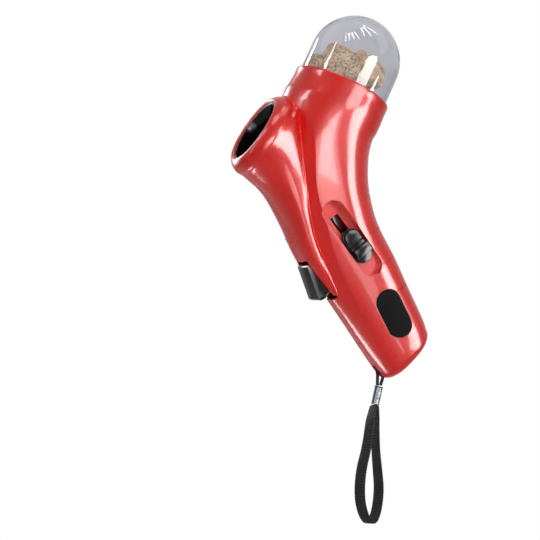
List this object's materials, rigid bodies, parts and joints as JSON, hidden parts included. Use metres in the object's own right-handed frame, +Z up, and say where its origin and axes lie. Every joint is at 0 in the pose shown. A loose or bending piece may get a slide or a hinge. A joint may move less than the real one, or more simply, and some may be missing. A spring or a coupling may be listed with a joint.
{
  "type": "treat launcher",
  "caption": "Hand-held spring launcher for small dry pet treats: pistol grip in two half shells, clear hopper dome, wide muzzle, trigger, thumb slide and wrist strap.",
  "frame": {"origin": "centre of the grip, on the handle's axis, where the hand closes round it", "axes": "+Z up as the launcher is held, with the handle leaning 35 degrees; the muzzle points to -X and up, the hopper dome to +X and up, and the side with the thumb slide is -Y"},
  "size_m": [0.1161, 0.0578, 0.2935],
  "materials": {
    "casing_red": "gloss",
    "gloss_black": "gloss",
    "clear_plastic": "clear gloss",
    "black_rubber": "fine grain",
    "grey_plastic": "satin",
    "black_plastic": "satin",
    "steel": "plated",
    "black_webbing": "woven",
    "bright_metal": "crimped, bright"
  },
  "bodies": {
    "casing": {"left_shell": "casing_red", "right_shell": "casing_red", "muzzle_liner": "gloss_black", "dome_seal": "black_rubber", "hopper_funnel": "grey_plastic", "breech_tube": "grey_plastic", "bumper_ring": "black_rubber", "main_spring": "steel", "spring_seat": "grey_plastic", "trigger_pin": "steel", "trigger_spring": "steel", "grip_pad_left": "black_rubber", "grip_pad_right": "black_rubber", "shell_screws": "steel", "lanyard_pin": "steel", "strap_cord": "black_webbing", "strap_ferrule": "bright_metal", "strap_loop": "black_webbing"},
    "plunger": {"carriage": "black_plastic", "slide_knob": "gloss_black", "knob_screw": "steel", "plunger_rod": "steel", "plunger_head": "black_plastic", "rod_clip": "steel"},
    "trigger": {"trigger": "gloss_black"},
    "dome": {"hopper_dome": "clear_plastic"}
  },
  "joints": [
    {"name": "plunger_slide", "type": "slide", "parent": "casing", "child": "plunger", "axis": [-0.6184, 0, 0.7859], "range_m": [0, 0.017], "deforming": ["main_spring"]},
    {"name": "trigger_pull", "type": "hinge", "parent": "casing", "child": "trigger", "pos_m": [-0.02917, 0, 0.01376], "axis": [0, -1, 0], "range_deg": [0, 8], "stiffness_Nm_per_rad": 0.05, "springref_deg": -11.46, "deforming": ["trigger_spring"]},
    {"name": "dome_lift", "type": "slide", "parent": "casing", "child": "dome", "axis": [0.4305, 0, 0.9026], "range_m": [0, 0.04]}
  ]
}
